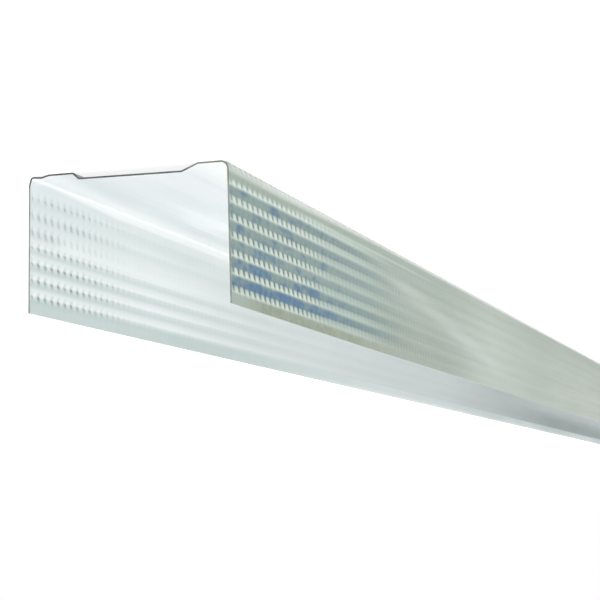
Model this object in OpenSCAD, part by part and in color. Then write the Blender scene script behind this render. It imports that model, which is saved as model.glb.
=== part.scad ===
// Lipless drywall stud: one strip of galvanised sheet steel, roll-formed to a channel.
// It lies on its web with both flanges up. X runs along the stud, Y across the web, and
// Z goes up from the two strips of the web that touch the floor. The outer faces of the
// web are stepped: a wide resting strip beside the flange at -Y, a middle that is set
// back, and a narrow resting rib with a low shoulder beside the flange at +Y.

/* [Stud] */
// Length that the stud is cut to
stud_length = 2600; // [300:50:6000]
// Width over the outside of both flanges, which sets the depth of the wall frame
web_w = 73.8; // [60:0.1:150]
// Height of the flanges, from the resting strips to the free edges
flange_h = 48.5; // [20:0.5:100]
// Thickness of the sheet
sheet_t = 0.6; // [0.4:0.05:1]

/* [Folds] */
// Inside radius of the fold at -Y, and of the slight one where the flange at +Y turns upright
flange_fold_r = 2.3; // [0.8:0.1:3]
// Inside radius of the sharper folds: the one at +Y and those within the web
web_fold_r = 0.6; // [0.3:0.1:1]
// Height at which the leaning foot of the flange at +Y turns upright
foot_h = 3.6; // [3:0.1:6]
// How far that foot leans in towards the web
foot_lean = 0.8; // [0.4:0.1:1.2]

/* [Web] */
// How far the middle of the web is set back from the resting strips, beside the strip at -Y
middle_set_back = 2.4; // [1:0.1:3]
// How far it is set back at its other side, beside the rib
rib_set_back = 2; // [1:0.1:3]
// Width of the resting strip beside the flange at -Y
strip_w = 11; // [6:0.5:16]
// Width of the slope from that strip up to the middle of the web
strip_slope_w = 6; // [3:0.5:8]
// Width of the shoulder beside the flange at +Y
shoulder_w = 4.8; // [4.4:0.1:7]
// How far the shoulder is set back from the resting strips, beside the rib
shoulder_set_back = 0.7; // [0.3:0.1:1.2]
// How far the fold at +Y is set back from them
corner_set_back = 0.4; // [0.2:0.1:1]
// Width of the slope from the shoulder down to the resting rib
shoulder_slope_w = 2.9; // [2:0.1:4]
// Width of the resting rib between the shoulder and the middle of the web
rib_w = 9.1; // [5:0.1:12]
// Width of the steep slope from the rib up to the middle of the web
rib_slope_w = 2.1; // [1.9:0.1:5]

/* [Hidden] */
$fn = 96;

// Facets of one fold within the web or the flange at +Y
fold_facets = 4;

half_t = sheet_t / 2;
fold_inner_r = flange_fold_r;
fold_outer_r = flange_fold_r + sheet_t;

// Places across the stud, from the flange at +Y to the one at -Y
flange_y = web_w / 2 - half_t;
corner_y = flange_y - foot_lean;
shoulder_y = web_w / 2 - shoulder_w;
rib_outer_y = shoulder_y - shoulder_slope_w;
rib_inner_y = rib_outer_y - rib_w;
middle_start_y = rib_inner_y - rib_slope_w;
strip_y = strip_w - web_w / 2;
middle_end_y = strip_y + strip_slope_w;
fold_y = web_w / 2 - fold_outer_r;

// Corners of the sheet's middle line [y, z], before its folds are rounded: up the flange
// at +Y, and across the web as far as the fold at -Y
sheet_line = [
    [flange_y, flange_h],
    [flange_y, foot_h],
    for (corner = [
        [corner_y, corner_set_back],
        [shoulder_y, shoulder_set_back],
        [rib_outer_y, 0],
        [rib_inner_y, 0],
        [middle_start_y, rib_set_back],
        [middle_end_y, middle_set_back],
        [strip_y, 0],
        [-fold_y, 0],
    ]) corner + [0, half_t]
];
last = len(sheet_line) - 1;

function left_of(v) = [-v.y, v.x];
function turned(v, a) = v * cos(a) + left_of(v) * sin(a);

// Direction of the run of sheet that starts at corner i
function along(i) = (sheet_line[i + 1] - sheet_line[i]) / norm(sheet_line[i + 1] - sheet_line[i]);

// Angle that the sheet turns through at corner i, positive to the left
function turn(i) = atan2(cross(along(i - 1), along(i)), along(i - 1) * along(i));

// Inside radius of the fold at corner i
function fold_r(i) = i == 1 ? flange_fold_r : web_fold_r;

// Point on the fold at corner i, a share of the way round it. Side 1 is the face to the
// left of the middle line, and side -1 the face to its right.
function fold_point(i, share, side) =
    let (
        middle_r = fold_r(i) + half_t,
        inward = left_of(along(i - 1)) * sign(turn(i)),
        start = sheet_line[i] - along(i - 1) * middle_r * tan(abs(turn(i)) / 2),
        centre = start + inward * middle_r,
        face_r = middle_r - side * sign(turn(i)) * half_t
    )
    centre - turned(inward, turn(i) * share) * face_r;

// One face of that run of sheet, from the free edge at +Y to the fold at -Y
function sheet_face(side) = [
    sheet_line[0] + left_of(along(0)) * side * half_t,
    for (i = [1 : last - 1], k = [0 : fold_facets]) fold_point(i, k / fold_facets, side),
    sheet_line[last] + left_of(along(last - 1)) * side * half_t,
];

function reversed(list) = [for (i = [len(list) - 1 : -1 : 0]) list[i]];

// Flange at +Y and the stepped web, as one run of sheet
module stepped_sheet() {
    polygon([each sheet_face(-1), each reversed(sheet_face(1))]);
}

// Flange at -Y and its large fold
module plain_flange() {
    mirror([1, 0]) {
        translate([fold_y, fold_outer_r])
            intersection() {
                difference() {
                    circle(fold_outer_r);
                    circle(fold_inner_r);
                }
                translate([0, -fold_outer_r]) square(fold_outer_r);
            }
        translate([web_w / 2 - sheet_t, fold_outer_r]) square([sheet_t, flange_h - fold_outer_r]);
    }
}

module section() {
    stepped_sheet();
    plain_flange();
}

module stud_profile() {
    color("#c4ccc8")
        rotate([90, 0, 90])
            linear_extrude(stud_length, center = true)
                section();
}

stud_profile();
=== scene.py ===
"""Looks of the lipless drywall stud: galvanised sheet with knurled flanges, on a white floor.

Everything is in metres in the part's own frame: X along the stud, Y across the web, Z up from the floor.
The near end is the one at +X. Left is the flange at +Y and right the one at -Y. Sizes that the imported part
doesn't give are named below.
"""

import math

import bpy
import numpy as np
from mathutils import Matrix, Vector

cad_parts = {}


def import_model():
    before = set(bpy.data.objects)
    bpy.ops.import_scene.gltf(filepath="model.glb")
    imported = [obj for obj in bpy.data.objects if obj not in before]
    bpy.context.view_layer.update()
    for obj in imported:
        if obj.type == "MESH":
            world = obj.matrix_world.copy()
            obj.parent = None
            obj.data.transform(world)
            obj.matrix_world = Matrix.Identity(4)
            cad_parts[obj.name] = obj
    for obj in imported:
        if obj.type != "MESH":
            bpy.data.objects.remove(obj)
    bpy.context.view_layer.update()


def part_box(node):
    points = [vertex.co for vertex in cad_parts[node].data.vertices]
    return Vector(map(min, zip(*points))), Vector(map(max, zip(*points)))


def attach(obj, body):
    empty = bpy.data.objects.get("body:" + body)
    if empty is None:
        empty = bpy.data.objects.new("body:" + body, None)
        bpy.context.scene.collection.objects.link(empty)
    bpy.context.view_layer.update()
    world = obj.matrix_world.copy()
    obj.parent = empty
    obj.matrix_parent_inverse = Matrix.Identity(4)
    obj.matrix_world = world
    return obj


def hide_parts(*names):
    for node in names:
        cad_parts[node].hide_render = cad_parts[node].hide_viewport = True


MM = 0.001

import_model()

NODE = "stud_profile"
BODY = "root"

# ---------------------------------------------------------------- section
low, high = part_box(NODE)
LENGTH = high.x - low.x
WEB_W = high.y - low.y
FLANGE_H = high.z
NEAR_X = high.x
SHEET_T = 0.6 * MM
HALF_T = SHEET_T / 2
WEB_FOLD_R = 0.6 * MM  # inside radius of the sharper folds
FOLD_R = 2.3 * MM  # inside radius of the right flange's fold, and of the slight one atop the left one's foot
FOOT_H = 3.6 * MM  # height at which the leaning foot of the left flange turns upright
FOOT_LEAN = 0.8 * MM
MIDDLE_STRIP_Z = 2.4 * MM
MIDDLE_RIB_Z = 2.0 * MM
SHOULDER_Z = 0.7 * MM
CORNER_Z = 0.4 * MM
STRIP_W = 11 * MM
STRIP_SLOPE_W = 6 * MM
SHOULDER_W = 4.8 * MM
SHOULDER_SLOPE_W = 2.9 * MM
RIB_W = 9.1 * MM
RIB_SLOPE_W = 2.1 * MM
FACET_TURN = math.pi / 16  # about how far a facet of a fold turns
LEAST_FACETS = 3
SPLAY = 0.4 * MM  # how far each flange has sprung out at its free edge
RISE_LENGTH = 0.18  # run from an end over which a free edge comes to its height for the rest of the stud
SEAM = 3.5 * MM  # run of web that each flange mesh carries past the foot of its flange
FOLD_GAP = 0.05 * MM  # least distance of a fold's line from the sides of the web's mesh
WEB_STATIONS = 27


def section_corners():
    """Corners of the sheet's middle line (y, z, inside radius), from the left free edge to the right one."""
    side = WEB_W / 2 - HALF_T
    shoulder_y = WEB_W / 2 - SHOULDER_W
    rib_y = shoulder_y - SHOULDER_SLOPE_W
    slope_y = rib_y - RIB_W
    strip_y = STRIP_W - WEB_W / 2
    return [
        (side + SPLAY, FLANGE_H, 0),
        (side, FOOT_H, FOLD_R),
        (side - FOOT_LEAN, CORNER_Z + HALF_T, WEB_FOLD_R),
        (shoulder_y, SHOULDER_Z + HALF_T, WEB_FOLD_R),
        (rib_y, HALF_T, WEB_FOLD_R),
        (slope_y, HALF_T, WEB_FOLD_R),
        (slope_y - RIB_SLOPE_W, MIDDLE_RIB_Z + HALF_T, WEB_FOLD_R),
        (strip_y + STRIP_SLOPE_W, MIDDLE_STRIP_Z + HALF_T, WEB_FOLD_R),
        (strip_y, HALF_T, WEB_FOLD_R),
        (-side, HALF_T, FOLD_R),
        (-side - SPLAY, FLANGE_H, 0),
    ]


def left_of(v):
    return np.array([-v[1], v[0]])


def section_path():
    """The sheet's middle line with its folds rounded: rows of distance along it, y, z and outward normal."""
    corners = section_corners()
    points = [np.array(corner[:2]) for corner in corners]
    headings = [(b - a) / np.linalg.norm(b - a) for a, b in zip(points, points[1:])]
    nodes = [(points[0], left_of(headings[0]))]
    for (_, _, inside_r), point, before, after in zip(corners[1:-1], points[1:-1], headings, headings[1:]):
        radius = inside_r + HALF_T
        turn = math.atan2(before[0] * after[1] - before[1] * after[0], float(before @ after))
        bend = math.copysign(1, turn)
        inward = left_of(before) * bend
        centre = point - before * radius * math.tan(abs(turn) / 2) + inward * radius
        facets = max(LEAST_FACETS, round(abs(turn) / FACET_TURN))
        for k in range(facets + 1):
            a = turn * k / facets
            spoke = inward * math.cos(a) + left_of(inward) * math.sin(a)
            nodes.append((centre - spoke * radius, spoke * bend))
    nodes.append((points[-1], left_of(headings[-1])))
    place = np.array([np.concatenate(node) for node in nodes])
    steps = np.linalg.norm(np.diff(place[:, :2], axis=0), axis=1)
    return np.column_stack([np.concatenate([[0], np.cumsum(steps)]), place])


PATH = section_path()
PATH_LENGTH = PATH[-1, 0]
FOOT_LEFT = FLANGE_H - CORNER_Z + SEAM  # where the left flange's mesh ends along the path
FOOT_RIGHT = FLANGE_H + SEAM  # where the right flange's mesh ends, from its own free edge


def on_path(s):
    """Places (y, z) and outward normals (y, z) at distances s along the section."""
    y, z, ny, nz = (np.interp(s, PATH[:, 0], PATH[:, i]) for i in range(1, 5))
    size = np.hypot(ny, nz)
    return y, z, ny / size, nz / size


def rising(value, start, end):
    """0 before the start, 1 past the end, and even in between. It falls where the end is the smaller."""
    return np.clip((value - start) / (end - start), 0, 1)


# ---------------------------------------------------------------- knurl
FIRST_MARK = 4.6 * MM  # from the near end to the middle of the first tooth
FULL_ROWS = 7  # rows on the flat of each flange
LEAN = 0.35  # how far a tooth leans along the stud for each unit up the flange
TOOTH_H = 0.30 * MM
DENT_SHARE = 0.5  # depth of a tooth's dent on the inner face, as a share of its height
WEAR_FROM, WEAR_TO = 0.2, 0.55  # distances from an end between which the knurl gets lower
WORN_SHARE = 0.4  # what is left of its height from there on

# The two flanges. first_row is from the free edge to the middle of the first row. The right flange has one
# row more, on its fold. rises are how far the free edge runs high of the part's own, at the ends and from
# RISE_LENGTH on.
LEFT = {
    "names": ("flange_left_near", "flange_left_far"),
    "first_row": 4.63 * MM,
    "row_pitch": 5.84 * MM,
    "rows": FULL_ROWS,
    "mark_pitch": 5.5 * MM,
    "rises": (-0.3 * MM, -0.3 * MM),
}
RIGHT = {
    "names": ("flange_right_near", "flange_right_far"),
    "first_row": 4.7 * MM,
    "row_pitch": 6.08 * MM,
    "rows": FULL_ROWS + 1,
    "mark_pitch": 5.6 * MM,
    "rises": (0.2 * MM, 0.8 * MM),
}

# Across a row, from its web side: offset from the row's middle, and height of a tooth and of the slit beside
# it. The slits close towards the free edge, where the teeth run together to one ridge.
ROW_LINES = np.array([
    (-2.1 * MM, 0.0, 0.0),
    (-1.3 * MM, 0.9 * TOOTH_H, 0.0),
    (0.0 * MM, TOOTH_H, 0.1 * TOOTH_H),
    (0.6 * MM, 0.8 * TOOTH_H, 0.55 * TOOTH_H),
    (1.9 * MM, 0.0, 0.0),
])
# Paint at those lines, as shares: the band of painted shade outside, and inside the painted shadow spot at a
# slit and the pale stripe.
ROW_BANDS = [1.0, 0.2, 0.0, 0.0, 1.0]
ROW_SPOTS = [0.4, 1.0, 0.15, 0.0, 0.0]
TALL_SPOTS = [0.5, 1.0, 0.9, 0.3, 0.0]
TALL_ROWS = (4, 5)  # the rows with the tall spots, from the free edge
ROW_STRIPES = [1.0, 0.3, 0.0, 0.05, 0.6]

# Kinds of column: at a tooth, at a slit, and at a plain end of the stud.
TOOTH, SLIT, PLAIN = 1, 0, -1
# Along a row: offset from the tooth's middle, and the kind of column there.
MARK_COLUMNS = [(-1.4 * MM, TOOTH), (1.2 * MM, TOOTH), (1.9 * MM, SLIT), (3.5 * MM, SLIT)]
LEAD_IN = 0.7 * MM  # from a slit's column to the first of the first tooth
LAST_GAP = 2 * MM  # least run of plain sheet at the far end
EDGE_GAP = 0.3 * MM  # least distance of a knurl line from the free edge and from the foot
LINE_GAP = 0.12 * MM  # least distance of a fold's line from its neighbours
PLAIN_RELIEF = 0.45  # how bright the ends are painted, on the teeth's scale

# Paint by distance from the free edge. The margin ends at the first row, inside and out, and outside it
# starts again past the last full row, as the flange's foot.
MARGIN_GAP = 1.8 * MM  # from the outer margin to the middle of the first row
INNER_MARGIN_FADE = 1.2 * MM  # past the middle of that row
FOOT_MARGIN = (0.2 * MM, 1.5 * MM)  # past the middle of the last full row, where the foot's paint comes in
LAST_SPOTS = 2.2 * MM  # past the same, where the spots and the gaps between the stripes end
FACE_FADE = 1 * MM  # half of the run over which the outer faces' finish gives way to the web's


def across_row(offset, values):
    return np.interp(offset, ROW_LINES[:, 0], values)


def flange_lines(first_row, pitch, rows, foot, folds):
    """Lines along a flange: distance from its free edge, tooth and slit height, lean, offset from a row, row.

    folds are the distances of the section's own fold points.
    """
    middles = first_row + pitch * np.arange(rows)
    knurl = (middles[:, None] - ROW_LINES[:, 0]).ravel()
    knurl = knurl[(knurl > EDGE_GAP) & (knurl < foot - EDGE_GAP)]
    spare = [f for f in folds if LINE_GAP < f < foot - LINE_GAP and np.min(np.abs(knurl - f)) > LINE_GAP]
    t = np.sort(np.concatenate([[0.0, foot], knurl, spare]))
    row = np.argmin(np.abs(t[:, None] - middles), axis=1)
    offset = middles[row] - t
    lean = LEAN * np.clip(offset, ROW_LINES[0, 0], ROW_LINES[-1, 0])
    lean[[0, -1]] = 0
    tooth, slit = (across_row(offset, ROW_LINES[:, k]) for k in (1, 2))
    return np.column_stack([t, tooth, slit, lean, offset, row])


def flange_columns(pitch):
    """Columns along the stud: distance from the near end, and kind."""
    marks = int((LENGTH - 2 * FIRST_MARK) / pitch) + 1
    columns = [(0.0, PLAIN), (FIRST_MARK + MARK_COLUMNS[0][0] - LEAD_IN, SLIT)]
    for k in range(marks):
        for offset, kind in MARK_COLUMNS:
            columns.append((FIRST_MARK + k * pitch + offset, kind))
    columns = [column for column in columns if column[0] < LENGTH - LAST_GAP]
    columns.append((LENGTH, PLAIN))
    return np.array(columns)


# Material slots of each mesh. Where two meshes meet, their rims are hidden.
FACES, CUT_ENDS, SLIT_EDGES = 0, 1, 2


def sheet_mesh(name, outer, inner, marks, materials):
    """A closed mesh of sheet from two grids of points, columns by lines.

    marks has the paint of the outer and the inner points, each a share of 1. Outside it is relief, band,
    outer face and margin, and inside it is spot, pale stripe, 0 and margin. Relief, band, spot and stripe lay
    out painted light and shade.
    """
    columns, lines = outer.shape[:2]
    count = columns * lines
    points = np.concatenate([outer.reshape(-1, 3), inner.reshape(-1, 3)])
    index = np.arange(count).reshape(columns, lines)

    def quads(a, b, c, d):
        return np.stack([a.ravel(), b.ravel(), c.ravel(), d.ravel()], 1)

    face = quads(index[:-1, :-1], index[1:, :-1], index[1:, 1:], index[:-1, 1:])
    faces = [face, face[:, ::-1] + count]
    slots = [np.full(2 * len(face), FACES, np.int32)]
    rims = (
        (index[:, 0], SLIT_EDGES),
        (index[-1, :], CUT_ENDS),
        (index[::-1, -1], SLIT_EDGES),
        (index[0, ::-1], CUT_ENDS),
    )
    for rim, slot in rims:
        faces.append(quads(rim[1:], rim[:-1], rim[:-1] + count, rim[1:] + count))
        slots.append(np.full(len(rim) - 1, slot, np.int32))
    faces = np.concatenate(faces)
    mesh = bpy.data.meshes.new(name)
    mesh.vertices.add(len(points))
    mesh.vertices.foreach_set("co", points.astype(np.float32).ravel())
    mesh.loops.add(faces.size)
    mesh.loops.foreach_set("vertex_index", faces.astype(np.int32).ravel())
    mesh.polygons.add(len(faces))
    mesh.polygons.foreach_set("loop_start", np.arange(0, faces.size, 4, dtype=np.int32))
    mesh.update(calc_edges=True)
    mesh.polygons.foreach_set("material_index", np.concatenate(slots))
    mesh.polygons.foreach_set("use_smooth", np.ones(len(faces), bool))

    # The sheet is sharp along its four rims. Each has a bit, and an edge is on one where both its points are.
    border = np.zeros((columns, lines), np.int32)
    border[0, :] |= 1
    border[-1, :] |= 2
    border[:, 0] |= 4
    border[:, -1] |= 8
    border = np.concatenate([border.ravel(), border.ravel()])
    ends = np.zeros(len(mesh.edges) * 2, np.int32)
    mesh.edges.foreach_get("vertices", ends)
    ends = ends.reshape(-1, 2)
    sharp = (border[ends[:, 0]] & border[ends[:, 1]]) > 0
    mesh.attributes.new("sharp_edge", "BOOLEAN", "EDGE").data.foreach_set("value", sharp)

    paint = np.concatenate([face_marks.reshape(-1, 4) for face_marks in marks]).astype(np.float32)
    mesh.attributes.new("marks", "FLOAT_COLOR", "POINT").data.foreach_set("color", paint.ravel())
    for material in materials:
        mesh.materials.append(material)
    mesh.validate()
    piece = bpy.data.objects.new(name, mesh)
    bpy.context.collection.objects.link(piece)
    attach(piece, BODY)
    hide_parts(NODE)


def sheet_grid(stations, s, height):
    """Outer and inner points of the sheet, from stations from the near end, lines, and height of relief."""
    y, z, ny, nz = on_path(s)

    def face(level):
        points = np.empty(np.broadcast_shapes(stations.shape, level.shape) + (3,))
        points[..., 0] = NEAR_X - stations
        points[..., 1] = y + ny * level
        points[..., 2] = np.maximum(z + nz * level, 0)
        return points

    return face(height + HALF_T), face(DENT_SHARE * height - HALF_T)


def flange(names, first_row, row_pitch, rows, mark_pitch, rises, left, materials):
    """One knurled flange, as two meshes that meet at the stud's middle."""
    foot = FOOT_LEFT if left else FOOT_RIGHT
    folds = PATH[:, 0] if left else PATH_LENGTH - PATH[:, 0]
    lines, columns = flange_lines(first_row, row_pitch, rows, foot, folds), flange_columns(mark_pitch)
    if not left:
        lines = lines[::-1]
    t, tooth, slit, lean, offset, row = lines.T
    kind = columns[:, 1][:, None]
    height = np.where(kind == TOOTH, tooth, np.where(kind == SLIT, slit, 0.0))
    relief = np.where(kind == PLAIN, PLAIN_RELIEF, height / TOOTH_H)
    from_ends = np.minimum(columns[:, 0], LENGTH - columns[:, 0])[:, None]
    height = height * np.interp(from_ends, [WEAR_FROM, WEAR_TO], [1.0, WORN_SHARE])
    stations = columns[:, 0][:, None] + np.where(kind == PLAIN, 0.0, lean)
    outer, inner = sheet_grid(stations, t if left else PATH_LENGTH - t, height)
    rise = np.interp(from_ends, [0, RISE_LENGTH], rises)
    for face in (outer, inner):
        face[..., 2] += rise * rising(face[..., 2], FOOT_H, FLANGE_H)

    last_row = first_row + row_pitch * (FULL_ROWS - 1)
    last_spots = last_row + LAST_SPOTS
    knurled = rising(t, foot - SEAM + FACE_FADE, foot - SEAM - FACE_FADE)
    foot_margin = rising(t, last_row + FOOT_MARGIN[0], last_row + FOOT_MARGIN[1])
    outer_margin = np.where(t < first_row, t < first_row - MARGIN_GAP, foot_margin)
    inner_margin = rising(t, first_row + INNER_MARGIN_FADE, first_row)
    band = across_row(offset, ROW_BANDS) * (t > first_row) * (t < last_row)
    spot = np.where(np.isin(row, TALL_ROWS), across_row(offset, TALL_SPOTS), across_row(offset, ROW_SPOTS))
    spot = spot * (kind == SLIT) * (t < last_spots)
    stripe = np.where(t > last_spots, 1, across_row(offset, ROW_STRIPES))
    layers = [(relief, band, knurled, outer_margin), (spot, stripe, 0, inner_margin)]
    marks = [np.stack([np.broadcast_to(layer, height.shape) for layer in face], -1) for face in layers]
    split = 1 + len(MARK_COLUMNS) * (len(columns) // (2 * len(MARK_COLUMNS)))
    for name, part in zip(names, (slice(0, split + 1), slice(split, None))):
        sheet_mesh(name, outer[part], inner[part], [face_marks[part] for face_marks in marks], materials)


def web(name, materials):
    """The stepped web between the two flange meshes."""
    start, end = FOOT_LEFT, PATH_LENGTH - FOOT_RIGHT
    folds = PATH[:, 0]
    s = np.concatenate([[start], folds[(folds > start + FOLD_GAP) & (folds < end - FOLD_GAP)], [end]])
    stations = np.linspace(0, LENGTH, WEB_STATIONS)[:, None]
    outer, inner = sheet_grid(stations, s, np.zeros((1, len(s))))
    plain = np.zeros((len(stations), len(s), 4))
    plain[..., 1] = 1
    sheet_mesh(name, outer, inner, [plain, plain], materials)


# ---------------------------------------------------------------- materials
class Net:
    """Short calls for a material's nodes. A value is a number, a colour or another node's output."""

    def __init__(self, name):
        self.material = bpy.data.materials.new(name)
        self.material.use_nodes = True
        self.tree = self.material.node_tree
        self.shader = self.tree.nodes["Principled BSDF"]
        self.place = self.tree.nodes.new("ShaderNodeTexCoord").outputs["Object"]
        self.x, self.y, self.z = self.split(self.place, "ShaderNodeSeparateXYZ")

    def put(self, socket, value):
        if isinstance(value, bpy.types.NodeSocket):
            self.tree.links.new(value, socket)
        elif hasattr(value, "__len__") and len(value) == 3 and len(socket.default_value) == 4:
            socket.default_value = (*value, 1)
        else:
            socket.default_value = value

    def split(self, value, kind="ShaderNodeSeparateColor"):
        node = self.tree.nodes.new(kind)
        self.put(node.inputs[0], value)
        return tuple(node.outputs)[:3]

    def math(self, operation, a, b=0.0, c=0.0):
        node = self.tree.nodes.new("ShaderNodeMath")
        node.operation = operation
        for socket, value in zip(node.inputs, (a, b, c)):
            self.put(socket, value)
        return node.outputs[0]

    def product(self, *values):
        result = values[0]
        for value in values[1:]:
            result = self.math("MULTIPLY", result, value)
        return result

    def total(self, *values):
        result = values[0]
        for value in values[1:]:
            result = self.math("ADD", result, value)
        return result

    def less(self, value, taken):
        return self.math("SUBTRACT", value, taken)

    def away(self, value, middle):
        """How far a value is from a middle one, to either side."""
        return self.math("ABSOLUTE", self.less(value, middle))

    def mix(self, share, a, b):
        node = self.tree.nodes.new("ShaderNodeMix")
        node.data_type = "RGBA"
        self.put(node.inputs[0], share)
        self.put(node.inputs[6], a)
        self.put(node.inputs[7], b)
        return node.outputs[2]

    def ranged(self, value, from_low, from_high, to_low=0.0, to_high=1.0, smooth=False):
        node = self.tree.nodes.new("ShaderNodeMapRange")
        node.interpolation_type = "SMOOTHSTEP" if smooth else "LINEAR"
        for socket, item in zip(node.inputs, (value, from_low, from_high, to_low, to_high)):
            self.put(socket, item)
        return node.outputs[0]

    def fade(self, distance, start, end, left=0.0):
        """1 up to the start of a stretch and what is left from its end on."""
        return self.ranged(distance, start, end, 1.0, left, smooth=True)

    def ramp(self, value, stops):
        node = self.tree.nodes.new("ShaderNodeValToRGB")
        self.put(node.inputs[0], value)
        items = node.color_ramp.elements
        while len(items) < len(stops):
            items.new(1.0)
        for item, (position, colour) in zip(items, stops):
            item.position, item.color = position, (*colour, 1)
        return node.outputs[0]

    def noise(self, stretch, detail=2.0, offset=(0, 0, 0), rough=0.5):
        """Noise with so many cells for each metre along x, y and z."""
        move = self.tree.nodes.new("ShaderNodeMapping")
        move.inputs["Scale"].default_value = stretch
        move.inputs["Location"].default_value = offset
        self.put(move.inputs["Vector"], self.place)
        node = self.tree.nodes.new("ShaderNodeTexNoise")
        node.inputs["Scale"].default_value = 1
        node.inputs["Detail"].default_value = detail
        node.inputs["Roughness"].default_value = rough
        self.tree.links.new(move.outputs[0], node.inputs["Vector"])
        return node.outputs[0]

    def spread(self, noise, smooth=False):
        """A noise's common values, spread over 0 to 1."""
        return self.ranged(noise, 0.3, 0.7, smooth=smooth)

    def up(self, start, end, to_low=0.0, to_high=1.0):
        """Changes from one value to the other between two heights, in millimetres."""
        return self.ranged(self.z, start * MM, end * MM, to_low, to_high)

    def across(self, start, end, to_low=0.0, to_high=1.0):
        """The same between two places across the stud, in millimetres."""
        return self.ranged(self.y, start * MM, end * MM, to_low, to_high)

    def bump(self, height, distance, strength):
        node = self.tree.nodes.new("ShaderNodeBump")
        node.inputs["Distance"].default_value = distance
        node.inputs["Strength"].default_value = strength
        self.put(node.inputs["Height"], height)
        self.tree.links.new(node.outputs[0], self.shader.inputs["Normal"])


# Colours of the inner faces.
INNER_LOW, INNER_HIGH = (0.83, 0.875, 0.87), (0.92, 0.955, 0.95)
INNER_PAINTED_LIGHT = (0.985, 1, 1)
# The patch is painted shade along the rows, and the spot a painted shadow at each slit.
INNER_PATCH, INNER_SPOT = (0.68, 0.75, 0.74), (0.25, 0.31, 0.28)
INNER_MARGIN, INNER_MARGIN_FAR = (0.61, 0.69, 0.67), (0.80, 0.865, 0.85)
INNER_FOOT_HIGHLIGHT = (0.965, 0.98, 0.975)
INNER_PAINTED_SHADE = (0.36, 0.412, 0.405)
WEB_LOW, WEB_HIGH = (0.79, 0.835, 0.84), (0.93, 0.955, 0.96)
WEB_PAINTED_SHADE = (0.74, 0.77, 0.80)
WEB_STRIP_HIGHLIGHT = (0.94, 0.96, 0.94)

# Colours of the outer faces. The first is that of the teeth and slits, by relief: painted shade in the slits
# and painted highlight on the teeth.
OUTER_ROW = [
    (0.0, (0.11, 0.16, 0.13)),
    (0.2, (0.26, 0.33, 0.28)),
    (0.45, (0.47, 0.555, 0.49)),
    (0.9, (0.64, 0.745, 0.68)),
]
OUTER_TEETH_HIGHLIGHT = (0.90, 1.0, 0.93)
OUTER_TICK = (0.17, 0.19, 0.14)
OUTER_RIDGE_LOW, OUTER_RIDGE_HIGH = (0.415, 0.515, 0.46), (0.55, 0.655, 0.59)
OUTER_PLAIN = (0.345, 0.42, 0.362)
OUTER_PLAIN_FAR, OUTER_PLAIN_MIDDLE = (0.43, 0.50, 0.435), (0.35, 0.415, 0.35)
OUTER_PLAIN_LIGHT = (0.55, 0.62, 0.56)
OUTER_BAND_LOW, OUTER_BAND_HIGH = (0.145, 0.24, 0.235), (0.215, 0.315, 0.30)
OUTER_BAND_DEEP = (0.085, 0.185, 0.21)
OUTER_BAND_PALER = (0.275, 0.34, 0.28)
OUTER_MARGIN_LOW, OUTER_MARGIN_HIGH = (0.21, 0.262, 0.178), (0.27, 0.322, 0.238)
OUTER_MARGIN_END = (0.32, 0.40, 0.34)
OUTER_FOOT = (0.35, 0.43, 0.36)
OUTER_FOLD_HIGHLIGHT = (0.96, 1, 0.975)
OUTER_OLIVE = (0.40, 0.45, 0.34)
BLUE_REFLECTION_TONES = [(0.3, (0.02, 0.145, 0.25)), (0.5, (0.0, 0.10, 0.25)), (0.7, (0.055, 0.18, 0.27))]
ROLLED = (0.5, 0.54, 0.53)  # of the fine lines that the rolls leave

METALLIC = 0.55
MATT_METALLIC = 0.1
SPECULAR = 0.3
ROUGH, ROUGH_SPREAD = 0.36, 0.08

# Places in the finish. Those ending in _Z are heights and those in _Y places across, in millimetres. Those in
# _X are distances along the stud, in metres. Each says where a change starts and ends. Some add its values at
# the two, or what is left past the end.
WEB_TOP_Z = (5, 3)  # where the flange's finish gives way to the web's
WEB_SHADE_Y = ((28, 22), (-25, -21))  # from either side towards the middle
WEB_SHADE_X, WEB_SHADE_SHARE = (0.02, 0.12), 0.75
WEB_HIGHLIGHT_Y = (-24, -30)

INNER_LIT_Z = (12, 26)
UNSHADED_ROW_Z, UNSHADED_ROW_HALF_Z = 20.2, 2.9  # middle and half height of the row that is worn away
UNSHADED_ROW_X = (0.018, 0.03)
ROWS_SHOW_Z = (16, 30, 0.35, 1.0)  # how strongly the painted shade of the rows shows inside
PATCH_X = (0.05, 0.38, 0.2)
SPOTS_X, SPOTS_LEAST, SPOTS_SPECKLE = (0.035, 0.10, 0.05), 0.25, (0.1, 0.8, 0.5, 1.0)
EDGE_TONE_X, EDGE_LEAST = (0.19, 0.48), 0.75
RIM_Z, RIM_X = (46, 48), (0.28, 0.50)
PAINTED_SHADE_X = [(0.12, 0.24, 0.24), (0.24, 0.53, 0.15), (0.673, 0.857, 0.24)]  # start, end and how much it adds
DARKEST_SHADE_X, DARKEST_SHADE_Z = (0.857, 1.10), (26, 36, -0.1, 0.36)
PAINTED_SHADE_Z = (3, 16)
FOOT_TOP_X = (0.015, 0.075, 1.4 * MM, 3.5 * MM)  # height of the painted highlight on the foot
FOOT_EDGE = (0.7 * MM, -0.5 * MM)  # from that height
SHOULDER_FADE = (9 * MM, 4 * MM)  # from the stud's left side
SHOULDER_X, SHOULDER_FROM = (0.01, 0.07, 0.3, 1.0), 3 * MM  # share along it, and its start from that side
MATT_FADE = (4.5 * MM, 1.5 * MM)  # from that side

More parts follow.
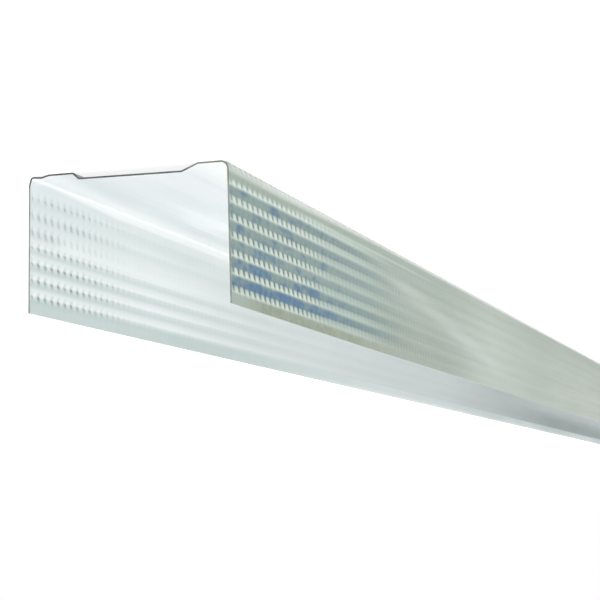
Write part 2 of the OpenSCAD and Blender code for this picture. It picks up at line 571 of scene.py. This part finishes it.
PLAIN_HIGH_Z, PLAIN_HIGH_X = (30, 46), (0.36, 0.44)
PLAIN_FAR_X, PLAIN_MIDDLE_X = (0.33, 0.45), (0.45, 0.62)
PLAIN_CLOUD = 0.12
NEAR_WEB_Z, TEETH_HIGHLIGHT_SHARE = (20, 8), 0.3
TEETH_DULL_Z = (41, 43, 0.0, 0.15)
TEETH_SPECKLE = (0.0, 1.0, 0.8, 1.1)
TEETH_X, RIDGE_X = (0.07, 0.13), (0.14, 0.23)  # the teeth fade to a ridge, and the ridge to the plain finish
BAND_DEEP_Z = (28, 42, 0.0, 0.9)
BAND_PALER_Z = (23, 34)
BAND_DARK_X, BAND_X = (0.15, 0.27), (0.30, 0.40)  # the bands' painted shade grows paler, and then fades
MARGIN_END_X = (0.008, 0.035)
MARGIN_FOOT_Z = (25, 20)
MARGIN_X = (0.13, 0.23)
LAST_RIDGE_MIDDLE, LAST_RIDGE_FADE = 6.3 * MM, (1.4 * MM, 0.4 * MM)  # its height, and distances from that
LAST_RIDGE_X = ((0.06, 0.10), (0.20, 0.40))  # comes in and fades again
FOLD_TOP_X, FOLD_FULL = (0.06, 0.2, 4.4 * MM, 2.8 * MM), 1.2 * MM  # heights where it starts and is full
FOLD_X = (0.01, 0.05, 0.85, 1.0)
TICKS_X, TICKS_Z, TICKS_RELIEF, TICKS_SHARE = (0.02, 0.09), (2.8, 2.0), (0.55, 0.15), 0.6
OLIVE_SPECKLE = (0.4, 1.0, 0.0, 0.15)
STREAK_SLOPE, STREAK_START = 0.098, -8.6 * MM  # height of its middle, by distance from the nearer end
STREAK_FADE, STREAK_SHARE = (5.5 * MM, 1.5 * MM), 0.4
STREAK_X = ((0.16, 0.25), (0.42, 0.50))  # comes in and fades again

# Where the painted blue reflection lies.
BLUE_REFLECTION_X = (0.09, 0.16)
BLUE_MORE_Z = (30, 42, 0.0, 0.14)
BLUE_Z = (8, 42, 0.65, 0.95)
BLUE_FROM = (0.475, 0.66)  # the noise at which the painted blue reflection starts and is full
BLUE_MOTTLE = 0.2

# Cells of the noises for each metre along x, y and z.
ROLLING_CELLS, CLOUD_CELLS = (5, 420, 420), (9, 70, 70)
SPECKLE_CELLS, GRAIN_CELLS = (230, 330, 330), (1500, 2600, 2600)
BLUE_CELLS, MOTTLE_CELLS = (60, 0, 150), (260, 0, 420)
ROLLED_SHARE, ROLLED_BUMP = 0.05, 0.4


class Zinc(Net):
    """The zinc of the sheet's faces, and what its finish is laid out by."""

    def __init__(self):
        super().__init__("zinc")
        marks = self.tree.nodes.new("ShaderNodeAttribute")
        marks.attribute_name = "marks"
        self.relief, self.band, self.outside = self.split(marks.outputs["Color"])
        self.spot, self.stripe = self.relief, self.band
        self.margin = marks.outputs["Alpha"]
        self.from_near = self.less(NEAR_X, self.x)
        self.from_ends = self.less(LENGTH / 2, self.math("ABSOLUTE", self.x))
        self.rolling = self.spread(self.noise(ROLLING_CELLS, 3.0))
        self.cloud = self.spread(self.noise(CLOUD_CELLS, 3.0, (3, 7, 1)), smooth=True)
        self.speckle = self.spread(self.noise(SPECKLE_CELLS, 2.0, (1, 2, 3)))
        self.grain = self.noise(GRAIN_CELLS)

    def along(self, start, end, to_low=0.0, to_high=1.0):
        """Changes from one value to the other between two distances from the nearer end."""
        return self.ranged(self.from_ends, start, end, to_low, to_high)

    def fade_along(self, start, end, left=0.0):
        return self.fade(self.from_ends, start, end, left)


def web_colour(net):
    """The inner face of the web: cloudy, with painted shade in its middle at the near end, and a painted
    highlight at its right side.
    """
    colour = net.mix(net.cloud, WEB_LOW, WEB_HIGH)
    # Painted shade in the web's middle near the near end.
    darker = net.product(*(net.across(*side) for side in WEB_SHADE_Y), WEB_SHADE_SHARE)
    colour = net.mix(net.product(darker, net.fade(net.from_near, *WEB_SHADE_X)), colour, WEB_PAINTED_SHADE)
    # A painted highlight along the wide strip at the web's right side.
    return net.mix(net.across(*WEB_HIGHLIGHT_Y), colour, WEB_STRIP_HIGHLIGHT)


def inner_colour(net, foot):
    """The inner faces: pale stripes between the rows, painted shade along them, and a painted shadow spot at
    each slit.
    """
    pale = net.mix(net.cloud, INNER_LOW, INNER_HIGH)
    # Painted light: the inner faces grow paler higher up.
    pale = net.mix(net.up(*INNER_LIT_Z), pale, INNER_PAINTED_LIGHT)
    pale = net.mix(net.up(*WEB_TOP_Z), pale, web_colour(net))
    # The grey patches along the rows are painted shade. On one row it stops after its first marks, and on the
    # rest it shows less towards the web.
    unshaded_row = net.math("COMPARE", net.z, UNSHADED_ROW_Z * MM, UNSHADED_ROW_HALF_Z * MM)
    kept = net.less(1.0, net.product(unshaded_row, net.along(*UNSHADED_ROW_X)))
    shown = net.product(net.up(*ROWS_SHOW_Z), kept)
    patch = net.product(net.less(1.0, net.stripe), shown, net.fade_along(*PATCH_X))
    colour = net.mix(patch, pale, INNER_PATCH)
    # They are darker towards the middle of the stud, in steps: painted shade.
    darkest_shade = net.product(net.along(*DARKEST_SHADE_X), net.up(*DARKEST_SHADE_Z))
    painted_shade = net.total(*(net.along(start, end, 0.0, more) for start, end, more in PAINTED_SHADE_X), darkest_shade)
    colour = net.mix(net.product(painted_shade, net.up(*PAINTED_SHADE_Z)), colour, INNER_PAINTED_SHADE)
    # The margin by the free edge is darker near the ends. Further on its rim has a painted highlight.
    edge_tone = net.mix(net.along(*EDGE_TONE_X), INNER_MARGIN, INNER_MARGIN_FAR)
    edge_tone = net.mix(net.product(net.up(*RIM_Z), net.along(*RIM_X)), edge_tone, INNER_PAINTED_LIGHT)
    edge_share = net.product(net.margin, net.ranged(net.cloud, 0, 1, EDGE_LEAST, 1.0))
    colour = net.mix(edge_share, colour, edge_tone)
    # A painted shadow spot at each slit, speckled and fading along the stud.
    dots = net.product(net.ranged(net.speckle, *SPOTS_SPECKLE), net.fade_along(*SPOTS_X))
    dots = net.product(dots, net.total(SPOTS_LEAST, net.product(shown, 1 - SPOTS_LEAST)))
    colour = net.mix(net.product(net.spot, dots), colour, INNER_SPOT)
    return net.mix(foot, colour, INNER_FOOT_HIGHLIGHT)


def foot_highlight(net):
    """Share of the painted highlight on the left flange's foot and the shoulder beside it."""
    top = net.along(*FOOT_TOP_X)
    foot = net.ranged(net.less(net.z, top), *FOOT_EDGE)
    foot = net.product(foot, net.ranged(net.y, *(WEB_W / 2 - inwards for inwards in SHOULDER_FADE)))
    on_flange = net.math("GREATER_THAN", net.y, WEB_W / 2 - SHOULDER_FROM)
    return net.product(foot, net.math("MAXIMUM", on_flange, net.along(*SHOULDER_X)))


def row_colours(net, plain):
    """The outer faces' teeth and slits in painted shade and highlight, and bluish bands of painted shade and
    reflection between the rows.
    """
    # Painted light: teeth and ridges are lighter towards the web, where the teeth also take a painted
    # highlight.
    near_web = net.up(*NEAR_WEB_Z)
    relief = net.product(net.relief, net.ranged(net.speckle, *TEETH_SPECKLE))
    teeth = net.mix(net.product(near_web, TEETH_HIGHLIGHT_SHARE), net.ramp(relief, OUTER_ROW), OUTER_TEETH_HIGHLIGHT)
    teeth = net.mix(net.up(*TEETH_DULL_Z), teeth, OUTER_MARGIN_END)
    ridge = net.mix(near_web, OUTER_RIDGE_LOW, OUTER_RIDGE_HIGH)
    row = net.mix(net.fade_along(*TEETH_X), ridge, teeth)
    row = net.mix(net.fade_along(*RIDGE_X), plain, row)
    # The bands between the rows are painted shade and reflection, deeper towards the free edge. Away from the
    # ends they grow paler, then plain.
    dark_band = net.mix(net.cloud, OUTER_BAND_LOW, OUTER_BAND_HIGH)
    dark_band = net.mix(net.up(*BAND_DEEP_Z), dark_band, OUTER_BAND_DEEP)
    paler_band = net.mix(net.up(*BAND_PALER_Z), plain, OUTER_BAND_PALER)
    band = net.mix(net.fade_along(*BAND_DARK_X), paler_band, dark_band)
    band = net.mix(net.fade_along(*BAND_X), plain, band)
    return net.mix(net.band, row, band)


def edging_colour(net, plain):
    """The outer faces' olive margin by the free edge, and their foot, which ends in a painted highlight along
    the fold.
    """
    colour = net.mix(net.speckle, OUTER_MARGIN_LOW, OUTER_MARGIN_HIGH)
    colour = net.mix(net.fade_along(*MARGIN_END_X), colour, OUTER_MARGIN_END)
    colour = net.mix(net.up(*MARGIN_FOOT_Z), colour, OUTER_FOOT)
    colour = net.mix(net.fade_along(*MARGIN_X), plain, colour)
    # Away from the ends the row above the fold runs on as a painted highlight along its ridge.
    comes, goes = LAST_RIDGE_X
    last_ridge = net.ranged(net.away(net.z, LAST_RIDGE_MIDDLE), *LAST_RIDGE_FADE)
    last_ridge = net.product(last_ridge, net.along(*comes), net.fade_along(*goes))
    colour = net.mix(last_ridge, colour, OUTER_RIDGE_HIGH)
    # A painted highlight along the fold.
    fold = net.product(net.ranged(net.z, net.along(*FOLD_TOP_X), FOLD_FULL), net.along(*FOLD_X))
    colour = net.mix(fold, colour, OUTER_FOLD_HIGHLIGHT)
    # The row of marks on the fold shows as dark ticks of painted shade near the ends.
    ticks = net.product(net.fade_along(*TICKS_X), net.up(*TICKS_Z), net.ranged(net.relief, *TICKS_RELIEF))
    return net.mix(net.product(ticks, TICKS_SHARE), colour, OUTER_TICK)


def outer_colour(net):
    """The outer faces. All but the fold grow plain towards the middle of the stud, the teeth first."""
    high_up = net.product(net.up(*PLAIN_HIGH_Z), net.fade_along(*PLAIN_HIGH_X))
    plain = net.mix(high_up, OUTER_PLAIN, OUTER_BAND_PALER)
    plain = net.mix(net.along(*PLAIN_FAR_X), plain, OUTER_PLAIN_FAR)
    plain = net.mix(net.along(*PLAIN_MIDDLE_X), plain, OUTER_PLAIN_MIDDLE)
    plain = net.mix(net.product(net.cloud, PLAIN_CLOUD), plain, OUTER_PLAIN_LIGHT)
    colour = net.mix(net.margin, row_colours(net, plain), edging_colour(net, plain))
    colour = net.mix(net.ranged(net.speckle, *OLIVE_SPECKLE), colour, OUTER_OLIVE)
    # A painted reflection, as a pale streak, slants across the rows where they have grown plain.
    comes, goes = STREAK_X
    middle = net.math("MULTIPLY_ADD", net.from_ends, STREAK_SLOPE, STREAK_START)
    streak = net.product(net.ranged(net.away(net.z, middle), *STREAK_FADE), net.along(*comes))
    streak = net.product(streak, net.fade_along(*goes), STREAK_SHARE)
    return net.mix(streak, colour, OUTER_PLAIN_LIGHT)


def painted_blue_reflection(net, colour):
    """A painted blue reflection in the hollows between the right flange's rows near one end."""
    mottle = net.noise(MOTTLE_CELLS, 2.0, (2, 0, 9))
    blue_noise = net.noise(BLUE_CELLS, 2.0, (4.3, 0, 2.6), 0.55)
    blue_noise = net.total(blue_noise, net.product(net.less(mottle, 0.5), BLUE_MOTTLE), net.up(*BLUE_MORE_Z))
    blue = net.product(net.ranged(blue_noise, *BLUE_FROM, smooth=True), net.fade(net.from_near, *BLUE_REFLECTION_X))
    blue = net.product(blue, net.up(*BLUE_Z), net.math("LESS_THAN", net.y, 0.0))
    blue = net.product(blue, net.band, net.less(1.0, net.margin))
    return net.mix(blue, colour, net.ramp(mottle, BLUE_REFLECTION_TONES))


def zinc():
    net = Zinc()
    foot = foot_highlight(net)
    colour = net.mix(net.outside, inner_colour(net, foot), painted_blue_reflection(net, outer_colour(net)))
    colour = net.mix(net.product(net.rolling, ROLLED_SHARE), colour, ROLLED)
    net.put(net.shader.inputs["Base Color"], colour)
    # The foot is matt as well as painted pale as a highlight, on its inner face.
    matt = net.product(foot, net.less(1.0, net.outside))
    matt = net.product(matt, net.ranged(net.y, *(WEB_W / 2 - inwards for inwards in MATT_FADE)))
    metallic = net.math("MULTIPLY_ADD", matt, MATT_METALLIC - METALLIC, METALLIC)
    net.put(net.shader.inputs["Metallic"], metallic)
    net.shader.inputs["Specular IOR Level"].default_value = SPECULAR
    uneven = net.total(net.rolling, net.cloud)
    rough = net.ranged(uneven, 0, 2, ROUGH - ROUGH_SPREAD, ROUGH + ROUGH_SPREAD)
    net.put(net.shader.inputs["Roughness"], rough)
    net.bump(net.total(net.product(net.rolling, ROLLED_BUMP), net.grain), 0.05 * MM, 0.25)
    return net.material


def cut_steel():
    """The sheet's cut ends: dark along the web, lighter up the flanges and along the wide strip at -Y."""
    net = Net("cut_steel")
    blotch = net.spread(net.noise((400, 260, 260)))
    dark = net.mix(blotch, (0.08, 0.085, 0.08), (0.18, 0.19, 0.18))
    light = net.mix(blotch, (0.26, 0.28, 0.26), (0.42, 0.44, 0.42))
    on_flanges = net.up(2.5, 6)
    on_strip = net.across(-20, -25, 0.0, 0.7)
    net.put(net.shader.inputs["Base Color"], net.mix(net.math("MAXIMUM", on_flanges, on_strip), dark, light))
    net.shader.inputs["Metallic"].default_value = 0.2
    net.shader.inputs["Specular IOR Level"].default_value = 0.2
    net.put(net.shader.inputs["Roughness"], net.ranged(blotch, 0, 1, 0.4, 0.6))
    net.bump(net.noise((1500, 1500, 1500)), 0.05 * MM, 0.4)
    return net.material


def slit_edge():
    """The free edges of the flanges, where the strip was slit: bright on the left and duller on the right."""
    net = Net("slit_edge")
    blotch = net.spread(net.noise((40, 900, 900)))
    bright = net.mix(blotch, (0.50, 0.56, 0.54), (0.62, 0.68, 0.66))
    darker = net.mix(blotch, (0.28, 0.33, 0.28), (0.36, 0.42, 0.36))
    net.put(net.shader.inputs["Base Color"], net.mix(net.math("LESS_THAN", net.y, 0.0), bright, darker))
    net.shader.inputs["Metallic"].default_value = 0.3
    net.put(net.shader.inputs["Roughness"], net.ranged(blotch, 0, 1, 0.3, 0.5))
    net.bump(blotch, 0.03 * MM, 0.3)
    return net.material


# ---------------------------------------------------------------- stage
FLOOR_TONE = 0.45
FLOOR_GLOW = 0.8  # to the camera, on top of what the lamps give the floor
FLOOR_MIRRORED = 0.45  # the same in the metal's reflections, where the lit floor then shows as plain white
FLOOR_REACH = 60
FLOOR_GAP = 0.1 * MM  # below the stud, so that the two faces don't share a plane

# Name, direction, strength, and size in degrees.
SUNS = [
    ("front", (0, 1, -0.5), 0.65, 30),
    ("back", (0, -0.6, -0.8), 0.25, 30),
    ("top", (0, -0.1, -1), 0.65, 40),
]
OVERHEAD_PLACE, OVERHEAD_SIZE, OVERHEAD_POWER = (NEAR_X + 0.05, -0.25, 0.9), 0.35, 0.8

CAMERA_PLACE = (NEAR_X + 0.56236, -0.23352, 0.1197)
CAMERA_TOWARDS = (-0.94918, 0.29121, -0.11937)
CAMERA_ROLL = -178.76  # the stud is seen with its web on top, so the camera is turned over
CAMERA_LENS, CAMERA_SENSOR = 107.9, 36


def floor():
    material = bpy.data.materials.new("floor")
    material.use_nodes = True
    nodes, links = material.node_tree.nodes, material.node_tree.links
    nodes.clear()
    out = nodes.new("ShaderNodeOutputMaterial")
    add = nodes.new("ShaderNodeAddShader")
    diffuse = nodes.new("ShaderNodeBsdfDiffuse")
    diffuse.inputs["Color"].default_value = (FLOOR_TONE, FLOOR_TONE, FLOOR_TONE, 1)
    glow = nodes.new("ShaderNodeEmission")
    path = nodes.new("ShaderNodeLightPath")
    level = nodes.new("ShaderNodeMath")
    level.operation = "MAXIMUM"
    for k, (ray, strength) in enumerate((("Is Camera Ray", FLOOR_GLOW), ("Is Glossy Ray", FLOOR_MIRRORED))):
        share = nodes.new("ShaderNodeMath")
        share.operation = "MULTIPLY"
        share.inputs[1].default_value = strength
        links.new(path.outputs[ray], share.inputs[0])
        links.new(share.outputs[0], level.inputs[k])
    links.new(level.outputs[0], glow.inputs["Strength"])
    links.new(diffuse.outputs[0], add.inputs[0])
    links.new(glow.outputs[0], add.inputs[1])
    links.new(add.outputs[0], out.inputs["Surface"])
    z = low.z - FLOOR_GAP
    corners = [(x * FLOOR_REACH, y * FLOOR_REACH, z) for x, y in ((-1, -1), (1, -1), (1, 1), (-1, 1))]
    mesh = bpy.data.meshes.new("floor")
    mesh.from_pydata(corners, [], [(0, 1, 2, 3)])
    mesh.materials.append(material)
    plane = bpy.data.objects.new("floor", mesh)
    bpy.context.collection.objects.link(plane)


def world():
    """A plain white surround."""
    studio = bpy.data.worlds.new("studio")
    bpy.context.scene.world = studio
    studio.use_nodes = True
    background = studio.node_tree.nodes["Background"]
    background.inputs["Color"].default_value = (1, 1, 1, 1)
    background.inputs["Strength"].default_value = 1.0


def lamp(light, direction, place=(0, 0, 0)):
    """Hangs a light that shines in a direction."""
    holder = bpy.data.objects.new(light.name, light)
    holder.location = place
    holder.rotation_mode = "QUATERNION"
    holder.rotation_quaternion = Vector(direction).to_track_quat("-Z", "Y")
    bpy.context.collection.objects.link(holder)


def lamps():
    """Three soft suns, and a square lamp over the near end."""
    for name, direction, strength, size in SUNS:
        light = bpy.data.lights.new(name, "SUN")
        light.energy, light.angle = strength, math.radians(size)
        lamp(light, direction)
    light = bpy.data.lights.new("overhead", "AREA")
    light.energy, light.size = OVERHEAD_POWER, OVERHEAD_SIZE
    lamp(light, Vector((NEAR_X, 0, 0)) - Vector(OVERHEAD_PLACE), OVERHEAD_PLACE)


def camera():
    data = bpy.data.cameras.new("camera")
    data.sensor_width, data.lens = CAMERA_SENSOR, CAMERA_LENS
    data.clip_start, data.clip_end = 0.05, 200
    cam = bpy.data.objects.new("camera", data)
    bpy.context.collection.objects.link(cam)
    cam.location = CAMERA_PLACE
    towards = Vector(CAMERA_TOWARDS)
    cam.rotation_mode = "QUATERNION"
    roll = Matrix.Rotation(math.radians(CAMERA_ROLL), 4, towards)
    cam.rotation_quaternion = (roll @ towards.to_track_quat("-Z", "Y").to_matrix().to_4x4()).to_quaternion()
    bpy.context.scene.camera = cam


sheet = [zinc(), cut_steel(), slit_edge()]
flange(**LEFT, left=True, materials=sheet)
flange(**RIGHT, left=False, materials=sheet)
web("web", sheet)
floor()
world()
lamps()
camera()
bpy.context.scene.view_settings.view_transform = "Standard"
